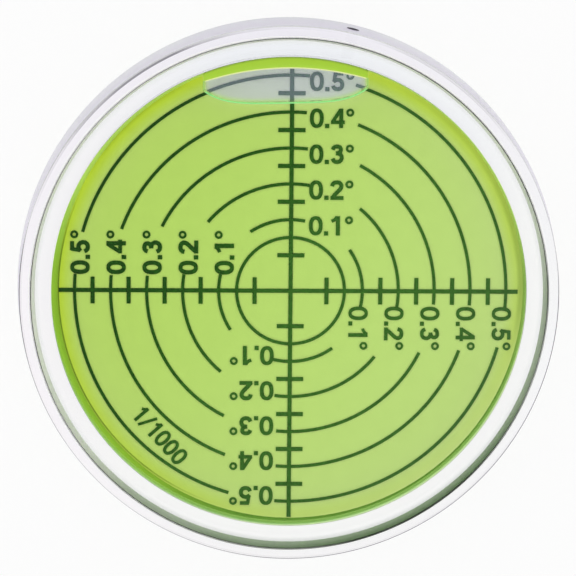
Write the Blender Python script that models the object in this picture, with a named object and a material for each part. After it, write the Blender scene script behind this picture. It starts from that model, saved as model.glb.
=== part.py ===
"""Round bubble level for setting a surface flat in every direction at once.

A clear disc-shaped housing holds a white dial under green spirit, and a round window let into its top closes
it. A pocket of air is left in the spirit. The window's underside is hollowed to a very large sphere, and that
hollow's radius sets how far the bubble runs for a given slope.

The level lies on its flat base: the origin is at the base's centre, +Z runs up through the window, and +Y
points to the side where the bubble has run to. Lengths are in metres.
"""

import math

import bmesh
import bpy
from mathutils import Matrix

# Housing, from its front edge inwards. The side leans out towards the base
FRONT_EDGE_DIAMETER = 0.0597
HEIGHT = 0.0066
SIDE_DRAFT = 0.0004
BASE_CHAMFER = 0.0002
BEVEL_WIDTH = 0.00108
BEVEL_DROP = 0.0004
RIM_LAND = 0.0001
FLOOR_THICKNESS = 0.0008

# Window, which narrows towards its underside and sits on a ledge around the chamber
WINDOW_THICKNESS = 0.0025
WINDOW_GAP = 0.00012
WINDOW_TAPER = 0.00042
WINDOW_EDGE_BREAK = 0.0001
LEDGE_WIDTH = 0.00183
HOLLOW_SPHERE_RADIUS = 2.0

# Dial, a loose disc on the chamber's floor, which lies a little off centre
DIAL_CLEARANCE = 0.0004
DIAL_THICKNESS = 0.0004
DIAL_OFFSET = 0.0002

# Scale printed on the dial. One division is how far the bubble runs for a slope of 1 in 1000
DIVISION = 0.002
PRINT_THICKNESS = 0.0001
RING_LINE_WIDTH = 0.00035
AXIS_LINE_WIDTH = 0.00046
AXIS_LINE_MARGIN = 0.0003
TICK_LENGTH = 0.0030
LABEL_GAP_START = 0.0017
LABEL_GAP_END = 0.0075
FIRST_LABEL_GAP_END = 0.0065
INNER_TICK_DIVISIONS = 2
CENTRE_CIRCLE_DIVISIONS = 3
FIRST_RING_DIVISIONS = 4
RING_SPACING_DIVISIONS = 2

# Spirit, which fills the chamber down to the dial
SPIRIT_CLEARANCE = 0.00005

# Bubble, a pocket open to the window and to the dial, lying against the chamber's wall. The share says how far
# its lower corners rise towards its upper side
BUBBLE_CLOCK_DEG = -1.4
BUBBLE_HALF_WIDTH = 0.0091
BUBBLE_DEPTH = 0.0048
BUBBLE_CORNER_SHARE = 0.43
BUBBLE_CORNER_POWER = 8
BUBBLE_FILM = 0.0003
BUBBLE_MENISCUS = 0.0009
BUBBLE_OVERSHOOT = 0.0005

# Fill hole through the housing's side, and the pin that seals it
FILL_HOLE_DIAMETER = 0.0014
FILL_HOLE_CLOCK_DEG = 13.1
FILL_HOLE_BELOW_LEDGE = 0.0002
FILL_PIN_CLEARANCE = 0.00005
FILL_PIN_RECESS = 0.0005

# Facets
ROUND_STEPS = 120
HOLE_STEPS = 24
HOLLOW_STEPS = 4
FLANK_STEPS = 6
BUBBLE_SIDE_STEPS = 19
CHORD_ERROR = 0.000008
WELD_DISTANCE = 0.000001
SHARP_ANGLE = math.radians(30)

# Radii and levels that follow from the sizes above
front_radius = FRONT_EDGE_DIAMETER / 2
base_radius = front_radius + SIDE_DRAFT
rim_radius = front_radius - BEVEL_WIDTH
seat_radius = rim_radius - RIM_LAND
window_radius = seat_radius - WINDOW_GAP
ledge_radius = window_radius - WINDOW_TAPER
chamber_radius = ledge_radius - LEDGE_WIDTH
dial_radius = chamber_radius - DIAL_CLEARANCE
ledge_level = HEIGHT - WINDOW_THICKNESS
dial_level = FLOOR_THICKNESS + DIAL_THICKNESS
print_level = dial_level + PRINT_THICKNESS
spirit_radius = chamber_radius - SPIRIT_CLEARANCE
spirit_floor = print_level + SPIRIT_CLEARANCE
fill_hole_level = ledge_level - FILL_HOLE_BELOW_LEDGE - FILL_HOLE_DIAMETER / 2


def clear_scene():
    for obj in list(bpy.data.objects):
        bpy.data.objects.remove(obj, do_unlink=True)


def material(name, colour, roughness, transmission=0.0, ior=1.45):
    mat = bpy.data.materials.new(name)
    mat.use_nodes = True
    shader = mat.node_tree.nodes["Principled BSDF"]
    shader.inputs["Base Color"].default_value = (*colour, 1.0)
    shader.inputs["Roughness"].default_value = roughness
    shader.inputs["Metallic"].default_value = 0.0
    shader.inputs["Transmission Weight"].default_value = transmission
    shader.inputs["IOR"].default_value = ior
    mat.diffuse_color = (*colour, 1.0)
    return mat


def add_object(name, bm, mat=None):
    """An object from a bmesh with its faces turned outwards, shaded smooth except at its edges."""
    bmesh.ops.recalc_face_normals(bm, faces=bm.faces)
    mesh = bpy.data.meshes.new(name)
    bm.to_mesh(mesh)
    bm.free()
    mesh.shade_smooth()
    mesh.set_sharp_from_angle(angle=SHARP_ANGLE)
    obj = bpy.data.objects.new(name, mesh)
    bpy.context.scene.collection.objects.link(obj)
    if mat is not None:
        mesh.materials.append(mat)
    return obj


def add_cutter(name, bm):
    cutter = add_object(name, bm)
    cutter.hide_render = True
    cutter.display_type = "WIRE"
    return cutter


def combine(obj, operation, other):
    modifier = obj.modifiers.new(operation.lower(), "BOOLEAN")
    modifier.operation = operation
    modifier.solver = "EXACT"
    modifier.object = other


def turned(profile, steps=ROUND_STEPS):
    """A bmesh turned about Z from an outline of (radius, level) points that starts and ends on the axis."""
    bm = bmesh.new()
    verts = [bm.verts.new((radius, 0.0, level)) for radius, level in profile]
    edges = [bm.edges.new(pair) for pair in zip(verts, verts[1:])]
    bmesh.ops.spin(
        bm,
        geom=verts + edges,
        cent=(0, 0, 0),
        axis=(0, 0, 1),
        angle=2 * math.pi,
        steps=steps,
    )
    bmesh.ops.remove_doubles(bm, verts=bm.verts, dist=WELD_DISTANCE)
    return bm


def prism(outline, bottom, top):
    """A bmesh with the same outline of (x, y) points at every level, closed at both ends."""
    bm = bmesh.new()
    face = bm.faces.new([bm.verts.new((x, y, bottom)) for x, y in outline])
    extruded = bmesh.ops.extrude_face_region(bm, geom=[face])
    raised = [v for v in extruded["geom"] if isinstance(v, bmesh.types.BMVert)]
    bmesh.ops.translate(bm, verts=raised, vec=(0, 0, top - bottom))
    return bm


def hollow_rise(radius):
    """How far the window's underside has risen, this far from the axis, above the ledge that it sits on."""
    return (chamber_radius**2 - radius**2) / (2 * HOLLOW_SPHERE_RADIUS)


def hollow_profile(outer_radius, below):
    """Points up the window's spherical hollow, from its rim to the axis, lowered by a clearance."""
    radii = [outer_radius * (1 - i / HOLLOW_STEPS) for i in range(HOLLOW_STEPS + 1)]
    return [(r, ledge_level + hollow_rise(r) - below) for r in radii]


def clock_turn(degrees):
    """A turn about Z that moves what lies at +Y clockwise, as seen from above."""
    return Matrix.Rotation(math.radians(-degrees), 4, "Z")


def fill_hole_cylinder(radius, inner_end, outer_end):
    """A bmesh of a rod that lies along the fill hole between two distances from the axis."""
    bm = bmesh.new()
    bmesh.ops.create_cone(
        bm,
        cap_ends=True,
        segments=HOLE_STEPS,
        radius1=radius,
        radius2=radius,
        depth=outer_end - inner_end,
    )
    outwards = Matrix.Rotation(math.radians(-90), 4, "X")
    along = Matrix.Translation((0, (inner_end + outer_end) / 2, fill_hole_level))
    bmesh.ops.transform(bm, matrix=clock_turn(FILL_HOLE_CLOCK_DEG) @ along @ outwards, verts=bm.verts)
    return bm


def build_housing(mat):
    profile = [
        (0, FLOOR_THICKNESS),
        (chamber_radius, FLOOR_THICKNESS),
        (chamber_radius, ledge_level),
        (ledge_radius + WINDOW_GAP, ledge_level),
        (seat_radius, HEIGHT),
        (rim_radius, HEIGHT),
        (front_radius, HEIGHT - BEVEL_DROP),
        (base_radius, BASE_CHAMFER),
        (base_radius - BASE_CHAMFER, 0),
        (0, 0),
    ]
    housing = add_object("housing", turned(profile), mat)
    reach = base_radius + FILL_HOLE_DIAMETER
    hole = fill_hole_cylinder(FILL_HOLE_DIAMETER / 2, chamber_radius - FILL_HOLE_DIAMETER, reach)
    combine(housing, "DIFFERENCE", add_cutter("fill_hole", hole))


def build_window(mat):
    profile = [
        (0, HEIGHT),
        (window_radius - WINDOW_EDGE_BREAK, HEIGHT),
        (window_radius, HEIGHT - WINDOW_EDGE_BREAK),
        (ledge_radius, ledge_level),
        *hollow_profile(chamber_radius, 0),
    ]
    add_object("window", turned(profile), mat)


def dial_centre():
    """The empty that carries the dial and its print."""
    empty = bpy.data.objects.new("dial_centre", None)
    empty.location.x = DIAL_OFFSET
    bpy.context.scene.collection.objects.link(empty)
    return empty


def build_dial(mat, centre):
    profile = [
        (0, dial_level),
        (dial_radius, dial_level),
        (dial_radius, FLOOR_THICKNESS),
        (0, FLOOR_THICKNESS),
    ]
    add_object("dial", turned(profile), mat).parent = centre


def bar(centre_x, centre_y, width, height):
    """The corners of an upright rectangle."""
    return [
        (centre_x + sx * width / 2, centre_y + sy * height / 2)
        for sx, sy in ((-1, -1), (1, -1), (1, 1), (-1, 1))
    ]


def arc_points(radius, start, end):
    """Points along an arc between two clock angles in radians, close enough to look round."""
    step = 2 * math.acos(1 - CHORD_ERROR / radius)
    count = max(2, math.ceil((end - start) / step))
    angles = [start + (end - start) * i / count for i in range(count + 1)]
    return [(radius * math.sin(a), radius * math.cos(a)) for a in angles]


def arc_band(radius, start, end):
    """The outline of a printed line that follows an arc."""
    outer = arc_points(radius + RING_LINE_WIDTH / 2, start, end)
    inner = arc_points(radius - RING_LINE_WIDTH / 2, start, end)
    return outer + inner[::-1]


def ring_radii():
    """The radii of the numbered rings, as many as the dial has room for."""
    radii = []
    radius = FIRST_RING_DIVISIONS * DIVISION
    while radius + RING_LINE_WIDTH < axis_reach():
        radii.append(radius)
        radius += RING_SPACING_DIVISIONS * DIVISION
    return radii


def axis_reach():
    return dial_radius - AXIS_LINE_MARGIN


def scale_outlines():
    """The outlines of every line on the dial, each of which crosses another."""
    reach = axis_reach()
    outlines = [bar(0, 0, AXIS_LINE_WIDTH, 2 * reach), bar(0, 0, 2 * reach, AXIS_LINE_WIDTH)]

    rings = ring_radii()
    ticks = [INNER_TICK_DIVISIONS * DIVISION]
    ticks += [(inner + outer) / 2 for inner, outer in zip(rings, rings[1:])]
    for radius in ticks:
        for side in (-radius, radius):
            outlines.append(bar(0, side, TICK_LENGTH, AXIS_LINE_WIDTH))
            outlines.append(bar(side, 0, AXIS_LINE_WIDTH, TICK_LENGTH))

    circle = CENTRE_CIRCLE_DIVISIONS * DIVISION
    for quarter in range(4):
        axis = quarter * math.pi / 2
        overlap = AXIS_LINE_WIDTH / 4 / circle
        outlines.append(arc_band(circle, axis - overlap, axis + math.pi / 2 + overlap))
        for radius in rings:
            gap_end = FIRST_LABEL_GAP_END if radius == rings[0] else LABEL_GAP_END
            start = axis + math.asin(gap_end / radius)
            end = axis + math.pi / 2 + math.asin(LABEL_GAP_START / radius)
            outlines.append(arc_band(radius, start, end))
    return outlines


def build_scale(mat, centre):
    """The scale's lines, which are joined into one print where they cross."""
    first, *others = scale_outlines()
    scale = add_object("scale_print", prism(first, dial_level, print_level), mat)
    scale.parent = centre
    lines = bpy.data.collections.new("scale_lines")
    bpy.context.scene.collection.children.link(lines)
    for i, outline in enumerate(others):
        line = add_cutter(f"scale_line_{i}", prism(outline, dial_level, print_level))
        line.parent = centre
        bpy.context.scene.collection.objects.unlink(line)
        lines.objects.link(line)
    modifier = scale.modifiers.new("union", "BOOLEAN")
    modifier.operation = "UNION"
    modifier.solver = "EXACT"
    modifier.operand_type = "COLLECTION"
    modifier.collection = lines


def bubble_outline(inset):
    """The bubble's edge seen from above, drawn in by an inset. The wall curves its upper side."""
    half = BUBBLE_HALF_WIDTH - inset
    top_radius = spirit_radius - BUBBLE_FILM - inset
    lowest = spirit_radius - BUBBLE_FILM - BUBBLE_DEPTH + inset
    corner_rise = BUBBLE_CORNER_SHARE * (math.sqrt(top_radius**2 - half**2) - lowest)
    points = []
    for i in range(BUBBLE_SIDE_STEPS + 1):
        x = half * math.sin(math.pi * (i / BUBBLE_SIDE_STEPS - 0.5))
        points.append((x, lowest + corner_rise * (x / half) ** BUBBLE_CORNER_POWER))
    for i in range(BUBBLE_SIDE_STEPS + 1):
        x = half * math.cos(math.pi * i / BUBBLE_SIDE_STEPS)
        points.append((x, math.sqrt(top_radius**2 - x**2)))
    return points


def bubble_solid():
    """A bmesh of the air pocket, widest half way up, where the spirit's surface is hollow all round it."""
    bottom, top = spirit_floor, ledge_level
    levels = [bottom - BUBBLE_OVERSHOOT]
    insets = [BUBBLE_MENISCUS]
    for i in range(FLANK_STEPS + 1):
        t = i / FLANK_STEPS
        levels.append(bottom + (top - bottom) * t)
        insets.append(BUBBLE_MENISCUS * (2 * t - 1) ** 2)
    levels.append(top + BUBBLE_OVERSHOOT)
    insets.append(BUBBLE_MENISCUS)

    bm = bmesh.new()
    loops = []
    for level, inset in zip(levels, insets):
        loops.append([bm.verts.new((x, y, level)) for x, y in bubble_outline(inset)])
    for lower, upper in zip(loops, loops[1:]):
        for i in range(len(lower)):
            j = (i + 1) % len(lower)
            bm.faces.new((lower[i], lower[j], upper[j], upper[i]))
    bm.faces.new(loops[0][::-1])
    bm.faces.new(loops[-1])
    bmesh.ops.transform(bm, matrix=clock_turn(BUBBLE_CLOCK_DEG), verts=bm.verts)
    return bm


def build_spirit(mat):
    profile = [
        *hollow_profile(spirit_radius, SPIRIT_CLEARANCE)[::-1],
        (spirit_radius, spirit_floor),
        (0, spirit_floor),
    ]
    spirit = add_object("spirit", turned(profile), mat)
    combine(spirit, "DIFFERENCE", add_cutter("bubble", bubble_solid()))


def build_fill_pin(mat):
    radius = FILL_HOLE_DIAMETER / 2 - FILL_PIN_CLEARANCE
    wall_at_hole = front_radius + SIDE_DRAFT * (HEIGHT - BEVEL_DROP - fill_hole_level) / (
        HEIGHT - BEVEL_DROP - BASE_CHAMFER
    )
    inner_end = chamber_radius + FILL_PIN_RECESS
    outer_end = wall_at_hole - FILL_PIN_RECESS
    add_object("fill_pin", fill_hole_cylinder(radius, inner_end, outer_end), mat)


def main():
    clear_scene()
    build_housing(material("clear_acrylic", (0.93, 0.93, 0.96), 0.05, 1.0, 1.49))
    build_window(material("ground_glass_window", (0.90, 0.95, 0.93), 0.03, 1.0, 1.52))
    centre = dial_centre()
    build_dial(material("white_dial", (0.85, 0.86, 0.86), 0.5), centre)
    build_scale(material("dark_print", (0.03, 0.09, 0.06), 0.6), centre)
    build_spirit(material("green_spirit", (0.45, 0.70, 0.10), 0.02, 0.8, 1.36))
    build_fill_pin(material("clear_pin", (0.80, 0.80, 0.84), 0.1, 0.9, 1.49))


main()
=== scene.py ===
import math

import bmesh
import bpy
from mathutils import Matrix, Vector


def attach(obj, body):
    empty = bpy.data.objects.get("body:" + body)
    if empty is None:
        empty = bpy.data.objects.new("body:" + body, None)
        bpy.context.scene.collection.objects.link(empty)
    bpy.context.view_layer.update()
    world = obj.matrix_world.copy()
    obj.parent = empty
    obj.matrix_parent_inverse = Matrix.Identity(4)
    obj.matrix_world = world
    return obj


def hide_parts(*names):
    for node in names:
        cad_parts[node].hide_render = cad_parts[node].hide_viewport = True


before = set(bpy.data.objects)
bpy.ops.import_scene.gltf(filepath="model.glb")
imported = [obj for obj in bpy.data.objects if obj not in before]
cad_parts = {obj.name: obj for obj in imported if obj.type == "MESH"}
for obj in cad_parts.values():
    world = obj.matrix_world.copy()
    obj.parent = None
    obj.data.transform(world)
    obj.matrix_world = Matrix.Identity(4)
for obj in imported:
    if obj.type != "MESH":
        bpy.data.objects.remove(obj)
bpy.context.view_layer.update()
MM = 0.001

# Sizes of the solids, in mm, that the finer pieces below keep to
HEIGHT = 6.6
FRONT_R = 29.81
BEVEL_FOOT = 6.2
BASE_R = 30.25
RIM_R = 28.77
SEAT_R = 28.67
WINDOW_R = 28.55
WINDOW_FOOT_R = 28.13
WINDOW_GAP = 0.12
CHAMBER_R = 26.3
CHAMBER_FLOOR = 0.8
LEDGE = 4.1
DIAL_R = 25.9
DIAL_TOP = 1.2
DIAL_X = 0.2
PRINT_TOP = 1.3
HOLLOW_R = 2000.0
HOLE_R = 0.7
HOLE_Z = 3.2
HOLE_CLOCK = 13.1
PIN_GAP = 0.05
PIN_START = 26.8
PIN_END = 29.55

# Widths in mm of the surfaces that carry painted shade and painted reflection at the front edge and under
# the dial's edge
STRIP_WIDTH = 0.32
LIP_RADIUS = 0.16
GAP_UNDER_DIAL = 0.3

# How much light bends in each material
ACRYLIC_IOR = 1.49
GLASS_IOR = 1.46
SPIRIT_IOR = 1.36

# Surfaces that touch lap by this much, so that light bends once between them
LAP = 0.02

# How far the cutters reach past what they cut, in mm
CUT_PAST = 1

# Faces round a turned piece, and the angle from which an edge between faces stays sharp
STEPS_ROUND = 360
SHARP = math.radians(30)


def link(obj):
    bpy.context.scene.collection.objects.link(obj)
    return obj


def finish_mesh(name, bm, materials):
    """An object made of a bmesh, smooth but for its sharp edges."""
    bmesh.ops.recalc_face_normals(bm, faces=bm.faces)
    mesh = bpy.data.meshes.new(name)
    bm.to_mesh(mesh)
    bm.free()
    mesh.shade_smooth()
    mesh.set_sharp_from_angle(angle=SHARP)
    for mat in materials:
        mesh.materials.append(mat)
    return link(bpy.data.objects.new(name, mesh))


def lathe(name, section, materials):
    """A closed piece turned about Z. Each row of the section is a radius and height in mm, and the place in
    the list of the material for the face that starts there. The section starts and ends on the axis."""
    bm = bmesh.new()
    columns = []
    for k in range(STEPS_ROUND):
        a = 2 * math.pi * k / STEPS_ROUND
        columns.append((math.cos(a), math.sin(a)))
    rings = []
    for r, z, _ in section:
        if r == 0:
            rings.append([bm.verts.new((0, 0, z * MM))])
        else:
            rings.append([bm.verts.new((r * c * MM, r * s * MM, z * MM)) for c, s in columns])
    for (_, _, slot), lower, upper in zip(section, rings, rings[1:]):
        for k in range(STEPS_ROUND):
            j = (k + 1) % STEPS_ROUND
            corners = []
            for ring, place in ((lower, k), (lower, j), (upper, j), (upper, k)):
                v = ring[place % len(ring)]
                if v not in corners:
                    corners.append(v)
            bm.faces.new(corners).material_index = slot
    return finish_mesh(name, bm, materials)


def fillet(section, radii, steps=5):
    """Rounds the corners of a section. Radii maps a row's place to its radius and the arc's material."""
    rows = []
    for i, (r, z, slot) in enumerate(section):
        if i not in radii:
            rows.append((r, z, slot))
            continue
        radius, arc_slot = radii[i]
        corner = Vector((r, z))
        before = (Vector(section[i - 1][:2]) - corner).normalized()
        after = (Vector(section[i + 1][:2]) - corner).normalized()
        half = before.angle(after) / 2
        start = corner + before * (radius / math.tan(half))
        end = corner + after * (radius / math.tan(half))
        middle = corner + (before + after).normalized() * (radius / math.sin(half))
        a0 = math.atan2(start.y - middle.y, start.x - middle.x)
        a1 = math.atan2(end.y - middle.y, end.x - middle.x)
        turn = (a1 - a0 + math.pi) % (2 * math.pi) - math.pi
        for k in range(steps + 1):
            a = a0 + turn * k / steps
            rows.append((middle.x + radius * math.cos(a), middle.y + radius * math.sin(a),
                         slot if k == steps else arc_slot))
    return rows


def prism(name, loop, bottom, top, mat):
    """A closed piece between two levels over a loop of (x, y) points in mm."""
    bm = bmesh.new()
    lower = [bm.verts.new((x * MM, y * MM, bottom * MM)) for x, y in loop]
    upper = [bm.verts.new((x * MM, y * MM, top * MM)) for x, y in loop]
    for i in range(len(loop)):
        j = (i + 1) % len(loop)
        bm.faces.new((lower[i], lower[j], upper[j], upper[i]))
    bm.faces.new(lower[::-1])
    bm.faces.new(upper)
    return finish_mesh(name, bm, (mat,))


# Materials
def principled(name, colour=(1, 1, 1), roughness=0.5, transmission=0.0, ior=1.45, tint=None):
    mat = bpy.data.materials.new(name)
    mat.use_nodes = True
    shader = mat.node_tree.nodes["Principled BSDF"]
    shader.inputs["Base Color"].default_value = (*colour, 1)
    shader.inputs["Roughness"].default_value = roughness
    shader.inputs["Transmission Weight"].default_value = transmission
    shader.inputs["IOR"].default_value = ior
    if tint is not None:
        shader.inputs["Specular Tint"].default_value = (*tint, 1)
    return mat


class Graph:
    """Short names for wiring the nodes of a material or of the world."""

    def __init__(self, mat):
        self.nodes = mat.node_tree.nodes
        self.links = mat.node_tree.links
        self.shader = self.nodes.get("Principled BSDF")

    def feed(self, socket, value):
        if isinstance(value, bpy.types.NodeSocket):
            self.links.new(value, socket)
        elif isinstance(value, tuple):
            socket.default_value = (*value, 1)
        else:
            socket.default_value = value

    def place(self, shift=(0, 0, 0)):
        """The point on the piece, in mm, as x, y and z. The shift is added to it."""
        coords = self.nodes.new("ShaderNodeTexCoord")
        scale = self.nodes.new("ShaderNodeMapping")
        scale.inputs["Scale"].default_value = (1 / MM, 1 / MM, 1 / MM)
        scale.inputs["Location"].default_value = shift
        self.links.new(coords.outputs["Object"], scale.inputs["Vector"])
        split = self.nodes.new("ShaderNodeSeparateXYZ")
        self.links.new(scale.outputs[0], split.inputs[0])
        return split.outputs[0], split.outputs[1], split.outputs[2]

    def math(self, operation, a, b=0.0):
        node = self.nodes.new("ShaderNodeMath")
        node.operation = operation
        self.feed(node.inputs[0], a)
        self.feed(node.inputs[1], b)
        return node.outputs[0]

    def reach(self):
        """The distance in mm from the upright line through the piece's own middle."""
        x, y, _ = self.place()
        return self.math("SQRT", self.math("ADD", self.math("MULTIPLY", x, x), self.math("MULTIPLY", y, y)))

    def spread(self, value, start, end, low=0.0, high=1.0):
        """A smooth change from low to high while the value goes from start to end."""
        node = self.nodes.new("ShaderNodeMapRange")
        node.interpolation_type = "SMOOTHSTEP"
        self.feed(node.inputs["Value"], value)
        node.inputs["From Min"].default_value = start
        node.inputs["From Max"].default_value = end
        node.inputs["To Min"].default_value = low
        node.inputs["To Max"].default_value = high
        return node.outputs[0]

    def mix(self, factor, a, b):
        node = self.nodes.new("ShaderNodeMix")
        node.data_type = "RGBA"
        self.feed(node.inputs[0], factor)
        self.feed(node.inputs[6], a)
        self.feed(node.inputs[7], b)
        return node.outputs[2]

    def scale(self, colour, factor):
        node = self.nodes.new("ShaderNodeVectorMath")
        node.operation = "SCALE"
        self.links.new(colour, node.inputs[0])
        self.feed(node.inputs["Scale"], factor)
        return node.outputs[0]

    def noise(self, size):
        """A noise whose features are about this many mm across."""
        coords = self.nodes.new("ShaderNodeTexCoord")
        node = self.nodes.new("ShaderNodeTexNoise")
        node.inputs["Scale"].default_value = 1 / (size * MM)
        node.inputs["Detail"].default_value = 3.0
        self.links.new(coords.outputs["Object"], node.inputs["Vector"])
        return node.outputs[0]

    def ramp(self, value, stops, interpolation="LINEAR"):
        """A colour that changes with a value between 0 and 1. Stops are (value, colour)."""
        node = self.nodes.new("ShaderNodeValToRGB")
        node.color_ramp.interpolation = interpolation
        elements = node.color_ramp.elements
        elements.remove(elements[1])
        elements[0].position = stops[0][0]
        elements[0].color = (*stops[0][1], 1)
        for position, colour in stops[1:]:
            elements.new(position).color = (*colour, 1)
        self.links.new(value, node.inputs[0])
        return node.outputs[0]

    def around(self, stops):
        """A value or colour that changes with the clock angle. Stops are (degrees, value), from 0 at +Y and
        clockwise."""
        x, y, _ = self.place()
        angle = self.math("ARCTAN2", x, y)
        turn = self.math("FRACT", self.math("ADD", self.math("DIVIDE", angle, 2 * math.pi), 1.0))
        row = []
        for degrees, v in stops + [(360, stops[0][1])]:
            row.append((degrees / 360, v if isinstance(v, tuple) else (v, v, v)))
        return self.ramp(turn, row, "EASE")

    def slant(self, shift=(0, 0, 0)):
        """The distance from the middle towards the lower right, in mm."""
        x, y, _ = self.place(shift)
        return self.math("SUBTRACT", self.math("MULTIPLY", x, 0.87), self.math("MULTIPLY", y, 0.5))

    def base(self, value):
        self.feed(self.shader.inputs["Base Color"], value)

    def rough(self, value):
        self.feed(self.shader.inputs["Roughness"], value)


def let_light_through(mat):
    """Rays that carry light to other surfaces pass straight through, and the camera sees the light bend."""
    nodes, links = mat.node_tree.nodes, mat.node_tree.links
    path = nodes.new("ShaderNodeLightPath")
    straight = nodes.new("ShaderNodeBsdfTransparent")
    shown = nodes["Principled BSDF"].outputs[0]
    for ray in ("Is Diffuse Ray", "Is Shadow Ray"):
        mix = nodes.new("ShaderNodeMixShader")
        links.new(path.outputs[ray], mix.inputs[0])
        links.new(shown, mix.inputs[1])
        links.new(straight.outputs[0], mix.inputs[2])
        shown = mix.outputs[0]
    links.new(shown, nodes["Material Output"].inputs["Surface"])
    return mat


def clear(name, ior, wet=False, colour=(1, 1, 1), roughness=0.0, transmission=1.0):
    tint = (0, 0, 0) if wet else None
    return let_light_through(principled(name, colour, roughness, transmission, ior, tint))


# Polished acrylic
acrylic = clear("acrylic", ACRYLIC_IOR)

# Wet acrylic, on the ledge and under the dial, with painted shade that changes round the clock. The outer
# part of the ledge is darker, which is painted shade too
LEDGE_FADE = (27.5, 28.2)
acrylic_wet = clear("acrylic_wet", ACRYLIC_IOR, wet=True)
g = Graph(acrylic_wet)
ledge_painted_shade = g.around([
    (0, (0.865, 0.895, 0.985)), (40, (0.90, 0.92, 0.98)), (80, (0.96, 0.96, 0.965)),
    (210, (0.96, 0.96, 0.965)), (255, (0.955, 0.925, 0.975)), (300, (0.94, 0.925, 0.975))])
foot_painted_shade = g.around([
    (0, (0.77, 0.79, 0.79)), (105, (0.77, 0.79, 0.79)), (135, (0.55, 0.59, 0.57)),
    (180, (0.50, 0.54, 0.51)), (205, (0.58, 0.61, 0.58)), (230, (0.77, 0.79, 0.79))])
g.base(g.mix(g.spread(g.reach(), *LEDGE_FADE), ledge_painted_shade, foot_painted_shade))

# The turned side, which is matt
acrylic_side = clear("acrylic_turned_side", ACRYLIC_IOR, colour=(0.735, 0.685, 0.84), roughness=0.35,
                     transmission=0.35)

# The bevel, with painted shade that is darkest at the top and changes round the clock
BEVEL_PAINTED_SHADE = [(0, (0.77, 0.73, 0.86)), (45, (0.83, 0.80, 0.89)), (90, (0.90, 0.90, 0.93)),
               (180, (0.87, 0.85, 0.88)), (260, (0.91, 0.85, 0.93)), (310, (0.84, 0.79, 0.90))]
acrylic_bevel = clear("acrylic_bevel", ACRYLIC_IOR)
g = Graph(acrylic_bevel)
g.base(g.around(BEVEL_PAINTED_SHADE))

# The wall of the window's seat, with painted shade that is darkest at the lower right
acrylic_seat = clear("acrylic_seat", ACRYLIC_IOR)
g = Graph(acrylic_seat)
g.base(g.around([(0, 0.98), (40, 0.75), (60, 0.9), (78, 0.8), (90, 0.3), (106, 0.85), (122, 0.4),
                 (138, 0.03), (165, 0.02), (180, 0.4), (205, 0.6), (235, 0.85), (260, 0.98)]))

# The window's top and its underside, which is wet
glass = clear("window_glass", GLASS_IOR)
glass_wet = clear("window_glass_wet", GLASS_IOR, wet=True)

# The bevel's outermost strip, with the bevel's painted shade and a painted dark reflection that is darkest
# at the upper left
acrylic_edge = clear("acrylic_front_edge", ACRYLIC_IOR)
g = Graph(acrylic_edge)
painted_dark_reflection = g.around([(0, 0.12), (14, 0.0), (28, 0.33), (42, 0.33), (60, 0.0), (115, 0.0), (135, 0.14),
                   (200, 0.14), (215, 0.02), (245, 0.02), (270, 0.16), (285, 0.0), (300, 0.25), (312, 0.75),
                   (322, 0.98), (334, 1.0), (342, 0.65), (350, 0.3)])
g.base(g.mix(painted_dark_reflection, g.around(BEVEL_PAINTED_SHADE), (0.075, 0.07, 0.09)))

# The rounded front edge, with painted shade that is darkest at the lower right and the left
acrylic_lip = clear("acrylic_front_lip", ACRYLIC_IOR)
g = Graph(acrylic_lip)
lip = g.around([(0, 0.2), (15, 0.1), (45, 0.3), (60, 0.1), (76, 0.4), (92, 1.0), (182, 1.0), (205, 0.7),
                (225, 0.4), (250, 0.7), (262, 1.0), (277, 1.0), (288, 0.15), (300, 0.5), (315, 0.5),
                (332, 0.45), (350, 0.2)])
g.base(g.mix(lip, (0.66, 0.65, 0.70), (0.025, 0.022, 0.035)))

# The chamber's wall, clear but tinted green for the spirit in front of it, most of all low down, where the
# tint also holds painted shade
wall = clear("chamber_wall", ACRYLIC_IOR, wet=True)
g = Graph(wall)
_, _, level = g.place()
up_the_wall = g.math("DIVIDE", g.math("SUBTRACT", level, CHAMBER_FLOOR), LEDGE - CHAMBER_FLOOR)
g.base(g.ramp(up_the_wall, [
    (0.1, (0.17, 0.375, 0.06)), (0.42, (0.11, 0.33, 0.032)), (0.65, (0.19, 0.545, 0.085)),
    (0.88, (0.45, 0.77, 0.35)), (1.0, (0.59, 0.93, 0.47))]))

# The floor of the gap round the dial, with painted shade: pale at the top and dark at the lower right
gap = principled("gap_round_dial")
g = Graph(gap)
upper = g.around([(0, 1.0), (60, 1.0), (95, 0.35), (115, 0.0), (270, 0.0), (305, 1.0)])
left = g.around([(0, 0.0), (190, 0.0), (225, 1.0), (280, 1.0), (310, 0.0)])
g.base(g.mix(upper, g.mix(left, (0.19, 0.36, 0.08), (0.43, 0.63, 0.09)), (0.76, 0.90, 0.40)))

# The window's ground edge, with painted green shade at the bottom and right, darker higher up, and pale
# elsewhere. The fade's levels are in mm
GROUND_FADE = (4.3, 6.3)
ground = principled("ground_edge", roughness=0.6)
g = Graph(ground)
_, _, level = g.place()
green = g.around([(0, 0.12), (50, 0.12), (72, 0.3), (92, 0.66), (135, 0.95), (160, 0.95), (190, 0.83),
                  (212, 0.68), (236, 0.22), (262, 0.0), (300, 0.0)])
deep = g.spread(level, *GROUND_FADE)
green_shade_colour = g.mix(deep, (0.30, 0.37, 0.275), (0.085, 0.165, 0.065))
pale_colour = g.mix(deep, (0.95, 0.91, 0.95), (0.93, 0.88, 0.93))
grain = g.spread(g.noise(0.35), 0.3, 0.7, 0.92, 1.08)
g.base(g.scale(g.mix(green, pale_colour, green_shade_colour), grain))

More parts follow.
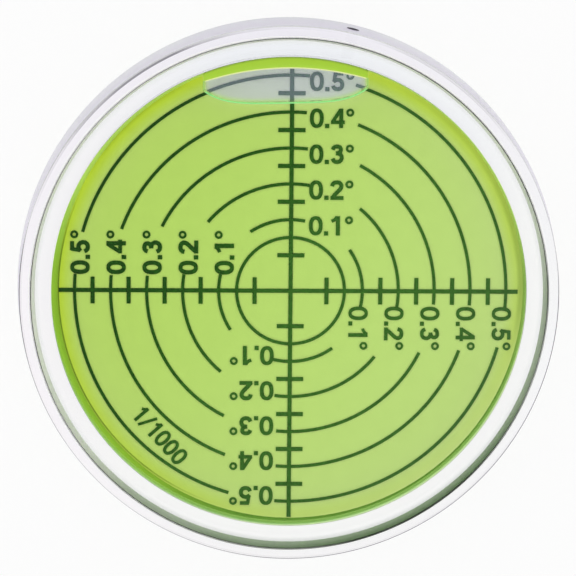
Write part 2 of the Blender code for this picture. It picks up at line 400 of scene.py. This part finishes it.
# The corner over the ground edge, with a painted dark shade line that has a few paler stretches
ground_line = principled("ground_edge_corner")
g = Graph(ground_line)
fade = g.around([(0, 0.2), (60, 0.05), (90, 0.05), (110, 0.3), (128, 0.0), (200, 0.0), (225, 0.1),
                 (240, 0.42), (262, 0.02), (274, 0.02), (288, 0.35), (310, 0.9), (340, 0.55)])
g.base(g.mix(fade, (0.015, 0.027, 0.012), (0.36, 0.37, 0.36)))

# The spirit is tinted through its whole depth
spirit_mat = clear("spirit", SPIRIT_IOR, wet=True)
g = Graph(spirit_mat)
volume = g.nodes.new("ShaderNodeVolumeAbsorption")
volume.inputs["Color"].default_value = (0.70, 0.965, 0.0, 1)
volume.inputs["Density"].default_value = 190
g.links.new(volume.outputs[0], g.nodes["Material Output"].inputs["Volume"])

# The dial has painted light: it is yellower near its edge, except under the bubble, and changes in tone
# from the upper left to the lower right. Its edge has painted shadow: a dark line at the lower left and a
# shade along the upper side. Distances are in mm from its middle
SLANT_HALF = 26.0
DIAL_FADE = (23.7, 25.7)
SHADOW_LINE_STARTS = (25.46, 25.56)
SHADOW_LINE_ENDS = (25.62, 25.72)
EDGE_SHADE = (25.3, 25.8)
dial_mat = principled("dial_white")
g = Graph(dial_mat)
dial_reach = g.reach()
across = g.spread(g.slant((DIAL_X, 0, 0)), -SLANT_HALF, SLANT_HALF)
# Painted light: yellower and darker towards the upper left, bluer towards the lower right
painted_light_across = g.mix(across, (0.79, 0.775, 0.60), (0.90, 0.84, 0.99))
strength = g.around([(0, 0.0), (18.2, 0.0), (19.3, 0.9), (45, 0.8), (70, 0.72), (90, 0.55), (135, 0.25),
                     (180, 0.4), (225, 0.75), (270, 0.95), (310, 1.0), (337.6, 1.0), (338.8, 0.0)])
painted_edge_light = g.math("MULTIPLY", g.spread(dial_reach, *DIAL_FADE), strength)
# Painted shadow: a thin dark line near the edge at the lower left, and painted shade along the upper side
# of the edge
shadow_line = g.math("MULTIPLY", g.spread(dial_reach, *SHADOW_LINE_STARTS),
                   g.spread(dial_reach, *SHADOW_LINE_ENDS, 1.0, 0.3))
low_left = g.around([(0, 0.0), (195, 0.0), (222, 0.75), (245, 0.9), (275, 1.0), (300, 0.0)])
upper = g.around([(0, 0.0), (22, 0.0), (45, 0.24), (75, 0.4), (90, 0.42), (110, 0.0), (296, 0.0),
                  (312, 0.3), (330, 0.25), (337, 0.0)])
shade = g.math("MAXIMUM", g.math("MULTIPLY", shadow_line, low_left),
               g.math("MULTIPLY", g.spread(dial_reach, *EDGE_SHADE), upper))
tone = g.mix(shade, g.mix(painted_edge_light, painted_light_across, (0.76, 0.76, 0.09)), (0.16, 0.23, 0.012))
g.base(g.scale(tone, g.spread(g.noise(1.6), 0.2, 0.8, 0.985, 1.015)))
g.rough(g.spread(g.noise(0.25), 0.3, 0.7, 0.42, 0.58))

# The ink has painted light: it is paler towards the lower right
ink = principled("dark_ink")
g = Graph(ink)
ink_tone = g.ramp(g.math("ADD", g.math("DIVIDE", g.slant(), 2 * SLANT_HALF), 0.5), [
    (0.0, (0.016, 0.062, 0.016)), (0.24, (0.018, 0.078, 0.021)), (0.36, (0.030, 0.102, 0.027)),
    (0.5, (0.056, 0.143, 0.062)), (0.75, (0.063, 0.147, 0.074)), (1.0, (0.076, 0.153, 0.105))])
g.base(g.scale(ink_tone, g.spread(g.noise(0.5), 0.3, 0.7, 0.9, 1.1)))
g.shader.inputs["Specular IOR Level"].default_value = 0.08
g.rough(g.spread(g.noise(0.3), 0.3, 0.7, 0.5, 0.7))

# Housing. Its surfaces are named in the order of its materials, as the window's are further down
POLISHED, WET, GAP_FLOOR, SIDE, STRIP, LIP, WALL, BEVEL, SEAT = range(9)
FOOT_CHAMFER = 0.2
section = [
    (0, CHAMBER_FLOOR, WET),
    (DIAL_R - GAP_UNDER_DIAL, CHAMBER_FLOOR, GAP_FLOOR),
    (CHAMBER_R, CHAMBER_FLOOR, WALL),
    (CHAMBER_R, LEDGE + LAP, WET),
    (WINDOW_FOOT_R + WINDOW_GAP, LEDGE + LAP, SEAT),
    (SEAT_R, HEIGHT, POLISHED),
    (RIM_R, HEIGHT, BEVEL),
    (FRONT_R - STRIP_WIDTH, BEVEL_FOOT + STRIP_WIDTH * (HEIGHT - BEVEL_FOOT) / (FRONT_R - RIM_R), STRIP),
    (FRONT_R, BEVEL_FOOT, SIDE),
    (BASE_R, FOOT_CHAMFER, POLISHED),
    (BASE_R - FOOT_CHAMFER, 0.0, POLISHED),
    (0, 0, POLISHED),
]

# The rounded corners, by their row in the section, with the radius in mm and the arc's surface
ROUNDED = {6: (0.05, BEVEL), 8: (LIP_RADIUS, LIP), 9: (0.1, SIDE), 10: (0.08, POLISHED)}
section = fillet(section, ROUNDED)
housing = lathe("housing_clear", section, (acrylic, acrylic_wet, gap, acrylic_side, acrylic_edge,
                                           acrylic_lip, wall, acrylic_bevel, acrylic_seat))


def clock(degrees):
    """A turn about the axis, clockwise seen from above."""
    return Matrix.Rotation(math.radians(-degrees), 4, "Z")


def rod(name, radius, inner, outer, mat, steps=48):
    """A rod along the fill hole between two distances from the axis, in mm."""
    bm = bmesh.new()
    bmesh.ops.create_cone(bm, cap_ends=True, segments=steps, radius1=radius * MM, radius2=radius * MM,
                          depth=(outer - inner) * MM)
    lie = Matrix.Rotation(math.radians(-90), 4, "X")
    move = Matrix.Translation((0, (inner + outer) / 2 * MM, HOLE_Z * MM))
    bmesh.ops.transform(bm, matrix=clock(HOLE_CLOCK) @ move @ lie, verts=bm.verts)
    return finish_mesh(name, bm, (mat,))


def cut(obj, cutter):
    """Takes the cutter's shape away from a piece. The cut faces get the cutter's material."""
    modifier = obj.modifiers.new("cut", "BOOLEAN")
    modifier.operation = "DIFFERENCE"
    modifier.solver = "EXACT"
    modifier.material_mode = "TRANSFER"
    modifier.object = cutter
    bpy.context.view_layer.update()
    evaluated = obj.evaluated_get(bpy.context.evaluated_depsgraph_get())
    mesh = bpy.data.meshes.new_from_object(evaluated)
    obj.modifiers.clear()
    obj.data = mesh
    mesh.shade_smooth()
    mesh.set_sharp_from_angle(angle=SHARP)
    bpy.data.objects.remove(cutter)


# Only the mouth of the fill hole shows, because the pin is bonded in
# The mouth's cut faces are dark, which is painted shade inside the hole
hole_mouth_shade = principled("hole_mouth_painted_shade", (0.11, 0.10, 0.13), 0.6)
cut(housing, rod("hole_mouth", HOLE_R, PIN_END, BASE_R + CUT_PAST, hole_mouth_shade))
pin_mat = clear("bonded_pin", 1.0, wet=True, colour=(0.985, 0.985, 0.985))
pin = rod("pin_bonded", HOLE_R - PIN_GAP, PIN_START, PIN_END - LAP, pin_mat)


# Window, with a hollow underside
def hollow(r):
    """The height of the hollow at a distance from the axis, in mm."""
    return LEDGE + (CHAMBER_R**2 - r**2) / (2 * HOLLOW_R)


POLISHED, WET, GROUND, CORNER = range(4)
CORNER_WIDTH = 0.1
HOLLOW_STEPS = 12
window_radii = [CHAMBER_R * (1 - i / HOLLOW_STEPS) for i in range(HOLLOW_STEPS)] + [0]
window_section = [
    (0, HEIGHT, POLISHED),
    (WINDOW_R - CORNER_WIDTH, HEIGHT, CORNER),
    (WINDOW_R, HEIGHT - CORNER_WIDTH, GROUND),
    (WINDOW_FOOT_R, LEDGE, WET),
    *[(r, hollow(r), WET) for r in window_radii],
]
window = lathe("window_disc", window_section, (glass, glass_wet, ground, ground_line))

# Spirit
SPIRIT_R = CHAMBER_R + LAP
spirit_radii = [SPIRIT_R * i / HOLLOW_STEPS for i in range(HOLLOW_STEPS + 1)]
spirit_section = [
    *[(r, hollow(r) + LAP, 0) for r in spirit_radii],
    (SPIRIT_R, CHAMBER_FLOOR - LAP, 0),
    (0, CHAMBER_FLOOR - LAP, 0),
]
spirit = lathe("spirit_fill", spirit_section, (spirit_mat,))

# Bubble, in mm. Its lower side rises towards its ends with a power of the distance from its middle, and its
# upper side is an arc about CROWN_Y. The clock angle is in degrees
BUBBLE_CLOCK = -1.4
BUBBLE_HALF = 9.0
BUBBLE_LOW = 21.25
BUBBLE_HIGH = 25.09
BUBBLE_RISE = 1.5
BUBBLE_POWER = 4.4
CROWN_Y = -5.3
POCKET_TOP = LEDGE + 0.08


def turned_points(points):
    """Points turned about the axis to where the bubble lies."""
    turn = clock(BUBBLE_CLOCK)
    return [(turn @ Vector((x, y, 0))).to_tuple()[:2] for x, y in points]


def bubble_low(steps=96):
    """The bubble's lower edge from left to right."""
    points = []
    for i in range(steps + 1):
        x = BUBBLE_HALF * math.sin(math.pi * (i / steps - 0.5))
        points.append((x, BUBBLE_LOW + BUBBLE_RISE * abs(x / BUBBLE_HALF) ** BUBBLE_POWER))
    return points


def bubble_high(top, centre_y, steps=96):
    """An arc over the bubble from right to left, about a centre below or at the axis."""
    across = [BUBBLE_HALF * math.cos(math.pi * i / steps) for i in range(steps + 1)]
    return [(x, centre_y + math.sqrt((top - centre_y) ** 2 - x**2)) for x in across]


def bubble_place(g):
    """How far a point lies along the bubble from its middle, and how far out from the axis, in mm."""
    lean = math.radians(-BUBBLE_CLOCK)
    c, s = math.cos(lean), math.sin(lean)
    x, y, _ = g.place()
    along = g.math("ABSOLUTE", g.math("ADD", g.math("MULTIPLY", x, c), g.math("MULTIPLY", y, s)))
    return along, g.math("SUBTRACT", g.math("MULTIPLY", y, c), g.math("MULTIPLY", x, s))


outline = turned_points(bubble_low() + bubble_high(BUBBLE_HIGH, CROWN_Y))
cut(spirit, prism("bubble_cutter", outline, DIAL_TOP - CUT_PAST, LEDGE + CUT_PAST, spirit_mat))

# The window's patch over the air, greenish along its lower side and ends and grey inside, where its tint
# and haze are painted shade and a painted haze of reflection. The two fades are in mm from the bubble's
# lower side and from its ends
LOW_FADE = (0.05, 0.75)
END_FADE = (0.05, 0.45)
roof = clear("window_over_air", GLASS_IOR, transmission=0.87)
g = Graph(roof)
along, outward = bubble_place(g)
share = g.math("DIVIDE", along, BUBBLE_HALF)
low_edge = g.math("ADD", g.math("MULTIPLY", g.math("POWER", share, BUBBLE_POWER), BUBBLE_RISE), BUBBLE_LOW)
from_low = g.spread(g.math("SUBTRACT", outward, low_edge), *LOW_FADE)
from_end = g.spread(g.math("SUBTRACT", BUBBLE_HALF, along), *END_FADE)
g.base(g.mix(g.math("MULTIPLY", from_low, from_end), (0.58, 0.92, 0.34), (0.63, 0.70, 0.98)))
cut(window, prism("pocket_cutter", outline, LEDGE - CUT_PAST, POCKET_TOP, roof))

# The spirit held in the corner between the bubble and the wall, darker towards the wall. Distances from the
# axis and levels are in mm
BAND_FADE = (25.0, 25.9)
WALL_FADE = (26.0, 26.28)
BAND_LEVELS = (3.95, LEDGE - 0.01)
band_mat = principled("spirit_in_corner", roughness=0.35)
g = Graph(band_mat)
reach = g.reach()
inner_tone = g.mix(g.spread(reach, *BAND_FADE), (0.46, 0.76, 0.055), (0.43, 0.71, 0.03))
g.base(g.mix(g.spread(reach, *WALL_FADE), inner_tone, (0.29, 0.48, 0.03)))
band_outline = turned_points(bubble_high(BUBBLE_HIGH, CROWN_Y)[::-1] + bubble_high(CHAMBER_R - 0.005, 0))
band = prism("bubble_corner_band", band_outline, *BAND_LEVELS, band_mat)

# The bright line of spirit round the bubble is a painted highlight, yellower along the upper side and
# darker at the ends
RIM_LINE = 0.16
RIM_LINE_LEVELS = (3.97, LEDGE - 0.005)
UPPER_SIDE = (24.2, 24.75)
LINE_END = (8.7, 8.97)
rim_highlight_mat = principled("spirit_rim_highlight", roughness=0.3)
g = Graph(rim_highlight_mat)
along, _ = bubble_place(g)
at_end = g.spread(along, *LINE_END)
painted_highlight = g.mix(g.spread(g.reach(), *UPPER_SIDE), (0.32, 0.88, 0.33), (0.95, 1.0, 0.42))
g.base(g.mix(at_end, painted_highlight, (0.42, 0.68, 0.17)))


def offset_loop(loop, distance):
    """A closed loop moved outwards by a distance, for a loop that runs anticlockwise."""
    moved = []
    count = len(loop)
    for i in range(count):
        before, here, after = (Vector(loop[k % count]) for k in (i - 1, i, i + 1))
        tangent = ((here - before).normalized() + (after - here).normalized()).normalized()
        moved.append((here.x + tangent.y * distance, here.y - tangent.x * distance))
    return moved


def ring_prism(name, outer, inner, bottom, top, mat):
    """A closed ring between two levels and two loops that have as many points as each other, in mm."""
    bm = bmesh.new()
    loops = []
    for loop, level in ((outer, bottom), (outer, top), (inner, top), (inner, bottom)):
        loops.append([bm.verts.new((x * MM, y * MM, level * MM)) for x, y in loop])
    for first, second in zip(loops, loops[1:] + loops[:1]):
        for i in range(len(first)):
            j = (i + 1) % len(first)
            bm.faces.new((first[i], first[j], second[j], second[i]))
    return finish_mesh(name, bm, (mat,))


# The line runs round the outline without the points that lie on one another at its corners
loop = [p for i, p in enumerate(outline) if (Vector(p) - Vector(outline[i - 1])).length > 0.002]
line_sides = [offset_loop(loop, side * RIM_LINE / 2) for side in (1, -1)]
line = ring_prism("bubble_rim_highlight", *line_sides, *RIM_LINE_LEVELS, rim_highlight_mat)

# Numbers on the dial, drawn with strokes. Points and widths are in units of a digit's height
GLYPHS = {
    "1": [([(0.42, 0.0), (0.42, 1.0)], 0.195),
          ([(0.09, 0.74), (0.2, 0.785), (0.3, 0.865), (0.37, 0.97)], 0.15)],
    "2": [([(0.1, 0.7), (0.125, 0.8), (0.19, 0.87), (0.27, 0.9), (0.355, 0.9025), (0.45, 0.89),
            (0.535, 0.835), (0.575, 0.75), (0.572, 0.66), (0.53, 0.57), (0.45, 0.475), (0.35, 0.375),
            (0.25, 0.27), (0.165, 0.165), (0.125, 0.09)], 0.19),
          ([(0.02, 0.09), (0.69, 0.09)], 0.18)],
    "3": [([(0.115, 0.735), (0.15, 0.83), (0.22, 0.885), (0.31, 0.9025), (0.4, 0.9), (0.485, 0.865),
            (0.53, 0.79), (0.53, 0.7), (0.485, 0.615), (0.4, 0.565), (0.28, 0.55)], 0.185),
          ([(0.28, 0.55), (0.42, 0.54), (0.52, 0.485), (0.575, 0.39), (0.578, 0.29), (0.54, 0.19),
            (0.46, 0.12), (0.35, 0.0975), (0.24, 0.11), (0.155, 0.17), (0.105, 0.275)], 0.185)],
    "4": [([(0.53, 0.0), (0.53, 1.0)], 0.185), ([(0.01, 0.295), (0.715, 0.295)], 0.165),
          ([(0.075, 0.29), (0.5, 0.95)], 0.165)],
    "5": [([(0.16, 0.905), (0.63, 0.905)], 0.175), ([(0.225, 0.93), (0.165, 0.48)], 0.165),
          ([(0.12, 0.475), (0.22, 0.56), (0.33, 0.585), (0.45, 0.56), (0.545, 0.48), (0.582, 0.36),
            (0.567, 0.24), (0.505, 0.148), (0.41, 0.104), (0.32, 0.0975), (0.22, 0.12), (0.145, 0.185),
            (0.105, 0.275)], 0.185)],
    ".": [([(0.0, 0.1), (0.215, 0.1)], 0.2)],
}


def oval(x, y, a, b, power=2.0, steps=44):
    """Points round an oval, which is squarer for a higher power."""
    points = []
    for i in range(steps):
        c, s = math.cos(2 * math.pi * i / steps), math.sin(2 * math.pi * i / steps)
        points.append((x + a * math.copysign(abs(c) ** (2 / power), c),
                       y + b * math.copysign(abs(s) ** (2 / power), s)))
    return points


def stroke_sides(points, width):
    """The two sides of a stroke with mitred joints and square ends."""
    left, right = [], []
    for i, p in enumerate(points):
        here = Vector(p)
        before = (here - Vector(points[i - 1])).normalized() if i > 0 else None
        after = (Vector(points[i + 1]) - here).normalized() if i < len(points) - 1 else None
        tangent = ((before or after) + (after or before)).normalized()
        side = Vector((-tangent.y, tangent.x)) * (width / 2 / max(tangent.dot(before or after), 0.5))
        left.append(tuple(here + side))
        right.append(tuple(here - side))
    return left, right


# Strokes that cross are each lower than the last by this much, so that their tops don't coincide
PRINT_STEP = 0.002
numbers = bmesh.new()


def add_ribbon(bm, outer, inner, put, closed=False, top=PRINT_TOP):
    """A thin printed stroke between two sides, laid on the dial by the put function."""
    rows = []
    for loop in (outer, inner):
        for level in (DIAL_TOP - 0.01, top):
            row = []
            for p in loop:
                x, y = put(*p)
                row.append(bm.verts.new(((x + DIAL_X) * MM, y * MM, level * MM)))
            rows.append(row)
    outer_low, outer_high, inner_low, inner_high = rows
    count = len(outer_low)
    for i in range(count if closed else count - 1):
        j = (i + 1) % count
        bm.faces.new((outer_low[i], outer_low[j], outer_high[j], outer_high[i]))
        bm.faces.new((inner_low[j], inner_low[i], inner_high[i], inner_high[j]))
        bm.faces.new((outer_high[i], outer_high[j], inner_high[j], inner_high[i]))
        bm.faces.new((outer_low[j], outer_low[i], inner_low[i], inner_low[j]))
    if not closed:
        for i in (0, count - 1):
            bm.faces.new((outer_low[i], outer_high[i], inner_high[i], inner_low[i]))


def add_glyph(text, left, put, weight):
    """One digit, point or degree sign whose left edge is at a distance along the line of writing. The
    weight is how much wider its strokes are."""
    def shift(x, y):
        return put(left + x, y)

    if text == "0":
        hole = oval(0.355, 0.5, 0.17 - weight, 0.335 - weight, 2.2)
        add_ribbon(numbers, oval(0.355, 0.5, 0.355, 0.5, 2.35), hole, shift, closed=True)
    elif text == "o":
        hole = oval(0.205, 0.795, 0.09, 0.09)
        add_ribbon(numbers, oval(0.205, 0.795, 0.205, 0.205), hole, shift, closed=True)
    else:
        for k, (points, width) in enumerate(GLYPHS[text]):
            sides = stroke_sides(points, width + weight)
            add_ribbon(numbers, *sides, shift, top=PRINT_TOP - PRINT_STEP * k)


def on_dial(start, height, degrees):
    """A function that puts a point of the lettering, in digit heights, on the dial in mm."""
    turn = Matrix.Rotation(math.radians(degrees), 2)

    def put(x, y):
        p = turn @ (Vector(start) + Vector((x, y)) * height)
        return p.x, p.y
    return put


RING_RADII = (8, 12, 16, 20, 24)
DIGIT = 2.15
# For each side from the top clockwise: where the numbers start and how far they are raised, in mm, and how
# much wider their strokes are, in digit heights
SIDES = ((1.97, -0.67, 0.014), (1.75, -0.44, 0.0), (1.81, -0.65, 0.016), (1.80, -0.61, 0.03))
for quarter, (start, raised, weight) in enumerate(SIDES):
    for digit, radius in zip("12345", RING_RADII):
        put = on_dial((start, radius + raised - DIGIT / 2), DIGIT, -90 * quarter)
        for text, left in (("0", 0.0), (".", 0.785), (digit, 1.08), ("o", 1.865)):
            add_glyph(text, left, put, weight)

# The scale's ratio, 1/1000, in narrower figures. Places along it are in mm from the first zero's middle
THIN = 2.0
RATIO_LEAN = -48.65
RATIO_PLACE = (-14.92, -17.47)
ZERO_STEP = 1.4
ONES = (-1.23, -3.6)
SLASH = (-3.0, -2.1)
ratio_start = Matrix.Rotation(math.radians(-RATIO_LEAN), 2) @ Vector(RATIO_PLACE)
put = on_dial(ratio_start, THIN, RATIO_LEAN)
for k in range(3):
    middle = ZERO_STEP * k / THIN
    hole = oval(middle, 0.5, 0.145, 0.335, 2.1)
    add_ribbon(numbers, oval(middle, 0.5, 0.32, 0.5, 2.3), hole, put, closed=True)
for stem in ONES:
    x = stem / THIN
    add_ribbon(numbers, *stroke_sides([(x, 0), (x, 1)], 0.18), put)
    flag = stroke_sides([(x - 0.24, 0.74), (x - 0.1, 0.82), (x, 0.96)], 0.15)
    add_ribbon(numbers, *flag, put, top=PRINT_TOP - PRINT_STEP)
slash_sides = stroke_sides([(SLASH[0] / THIN, -0.02), (SLASH[1] / THIN, 1.0)], 0.15)
add_ribbon(numbers, *slash_sides, put)
figures = finish_mesh("scale_figures", numbers, (ink,))

# The scale's lines. The ends of the arcs are in mm past the nearest axis line, for each side from the top
# clockwise: where the arc that crosses the axis stops, and where the next one starts after the number
LINE = 0.35
AXIS = 0.46
AXIS_X = (-25.74, 25.32)
AXIS_Y = (-25.8, 25.6)
CENTRE_CIRCLE = 6
TICKS = (4, 10, 14, 18, 22)
TICK_HALF = 1.5
ARC_STOPS = ((1.55, 2.0, 1.78, 1.63, 1.95), (1.75, 1.8, 1.48, 1.56, 1.8), (1.85, 1.68, 1.48, 1.49, 1.62),
             (1.8, 1.8, 1.62, 1.67, 1.8))
ARC_STARTS = ((6.52, 7.63, 7.57, 7.3, 7.06), (6.48, 7.42, 6.95, 6.68, 6.33), (6.66, 7.73, 7.35, 7.2, 6.78),
              (6.62, 7.7, 7.18, 6.87, 6.53))
lines = bmesh.new()


def as_is(x, y):
    return x, y


def arc(radius, start, end):
    """Points from one clock angle to another, in radians."""
    steps = math.ceil(math.degrees(end - start) / 1.5)
    angles = [start + (end - start) * i / steps for i in range(steps + 1)]
    return [(radius * math.sin(a), radius * math.cos(a)) for a in angles]


def add_bar(x0, y0, x1, y1, step):
    """A straight line of the axes or the ticks, a number of print steps lower than the arcs."""
    sides = stroke_sides([(x0, y0), (x1, y1)], AXIS)
    add_ribbon(lines, *sides, as_is, top=PRINT_TOP - PRINT_STEP * step)


for quarter in range(4):
    axis = quarter * math.pi / 2
    for radius, begin, stop in zip(RING_RADII, ARC_STARTS[quarter], ARC_STOPS[(quarter + 1) % 4]):
        start = axis + math.asin(begin / radius)
        end = axis + math.pi / 2 + math.asin(stop / radius)
        add_ribbon(lines, arc(radius + LINE / 2, start, end), arc(radius - LINE / 2, start, end), as_is)
circle = [arc(CENTRE_CIRCLE + side * LINE / 2, 0, 2 * math.pi)[:-1] for side in (1, -1)]
add_ribbon(lines, *circle, as_is, closed=True)
add_bar(0, AXIS_Y[0], 0, AXIS_Y[1], 1)
add_bar(AXIS_X[0], 0, AXIS_X[1], 0, 2)
for place in TICKS:
    for side in (-place, place):
        add_bar(-TICK_HALF, side, TICK_HALF, side, 3)
        add_bar(side, -TICK_HALF, side, TICK_HALF, 3)
scale_lines = finish_mesh("scale_lines", lines, (ink,))

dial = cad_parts["dial"]
dial.data.materials.clear()
dial.data.materials.append(dial_mat)

for obj, node, slot in ((housing, "housing", "clear_acrylic"), (window, "window", "window_glass"),
                        (spirit, "spirit", "green_spirit"), (band, "spirit", "green_spirit"),
                        (line, "spirit", "green_spirit"), (pin, "fill_pin", "clear_pin"),
                        (scale_lines, "scale_print", "dark_print"), (figures, None, "dark_print")):
    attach(obj, "root")
    if node:
        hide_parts(node)

# Floor, which shows white and keeps part of the object's shadow
FLOOR_DROP = 0.05
bm = bmesh.new()
bmesh.ops.create_grid(bm, x_segments=1, y_segments=1, size=2.0)
floor_mat = principled("floor_white", (0.97, 0.97, 0.97), 1.0)
g = Graph(floor_mat)
g.shader.inputs["Specular IOR Level"].default_value = 0.0
path = g.nodes.new("ShaderNodeLightPath")
glow = g.nodes.new("ShaderNodeEmission")
g.feed(glow.inputs["Color"], (0.99, 0.99, 0.99))
seen = g.math("MAXIMUM", path.outputs["Is Camera Ray"], path.outputs["Is Glossy Ray"])
seen = g.math("MAXIMUM", seen, path.outputs["Is Transmission Ray"])
mixer = g.nodes.new("ShaderNodeMixShader")
glow_share = g.math("MULTIPLY", seen, 0.85)
for place, value in enumerate((glow_share, g.shader.outputs[0], glow.outputs[0])):
    g.feed(mixer.inputs[place], value)
g.feed(g.nodes["Material Output"].inputs["Surface"], mixer.outputs[0])
floor = finish_mesh("floor", bm, (floor_mat,))
floor.location.z = -FLOOR_DROP * MM

# World: soft white light from all round, and less of it from right above, where the camera stands
world = bpy.data.worlds.new("studio")
bpy.context.scene.world = world
world.use_nodes = True
g = Graph(world)
coords = g.nodes.new("ShaderNodeTexCoord")
split = g.nodes.new("ShaderNodeSeparateXYZ")
g.links.new(coords.outputs["Generated"], split.inputs[0])
overhead = g.spread(split.outputs[2], 0.91, 0.965, 1.06, 0.2)
path = g.nodes.new("ShaderNodeLightPath")
seen = g.math("MAXIMUM", path.outputs["Is Camera Ray"], path.outputs["Is Transmission Ray"])
strength = g.nodes.new("ShaderNodeMix")
for place, value in ((0, seen), (2, overhead), (3, 1.0)):
    g.feed(strength.inputs[place], value)
background = g.nodes["Background"]
g.feed(background.inputs["Color"], (1, 1, 1))
g.feed(background.inputs["Strength"], strength.outputs[0])

# Camera, placed from how the printed circles are flattened and shifted in the photo. Lengths are in mm
TILT = math.radians(9.94)
CLOCK = math.radians(351.0)
ROLL = math.radians(0.5)
DISTANCE = 377.0
AIM = (-0.185, 0.96, HEIGHT)
SENSOR = 36
FOCAL_PIXELS = 3422
PHOTO_PIXELS = 576
out = Vector((math.sin(CLOCK) * math.sin(TILT), math.cos(CLOCK) * math.sin(TILT), math.cos(TILT)))
camera = link(bpy.data.objects.new("camera", bpy.data.cameras.new("camera")))
camera.location = (Vector((0, 0, HEIGHT)) + out * DISTANCE) * MM
forward = (Vector(AIM) * MM - camera.location).normalized()
level_up = (Vector((0, 1, 0)) - forward * forward.y).normalized()
level_right = forward.cross(level_up)
up = level_up * math.cos(ROLL) - level_right * math.sin(ROLL)
right = forward.cross(up)
camera.rotation_euler = Matrix((right, up, -forward)).transposed().to_euler()
camera.data.sensor_width = SENSOR
camera.data.lens = SENSOR * FOCAL_PIXELS / PHOTO_PIXELS
camera.data.clip_start = 0.01
bpy.context.scene.camera = camera
bpy.context.scene.view_settings.view_transform = "Standard"
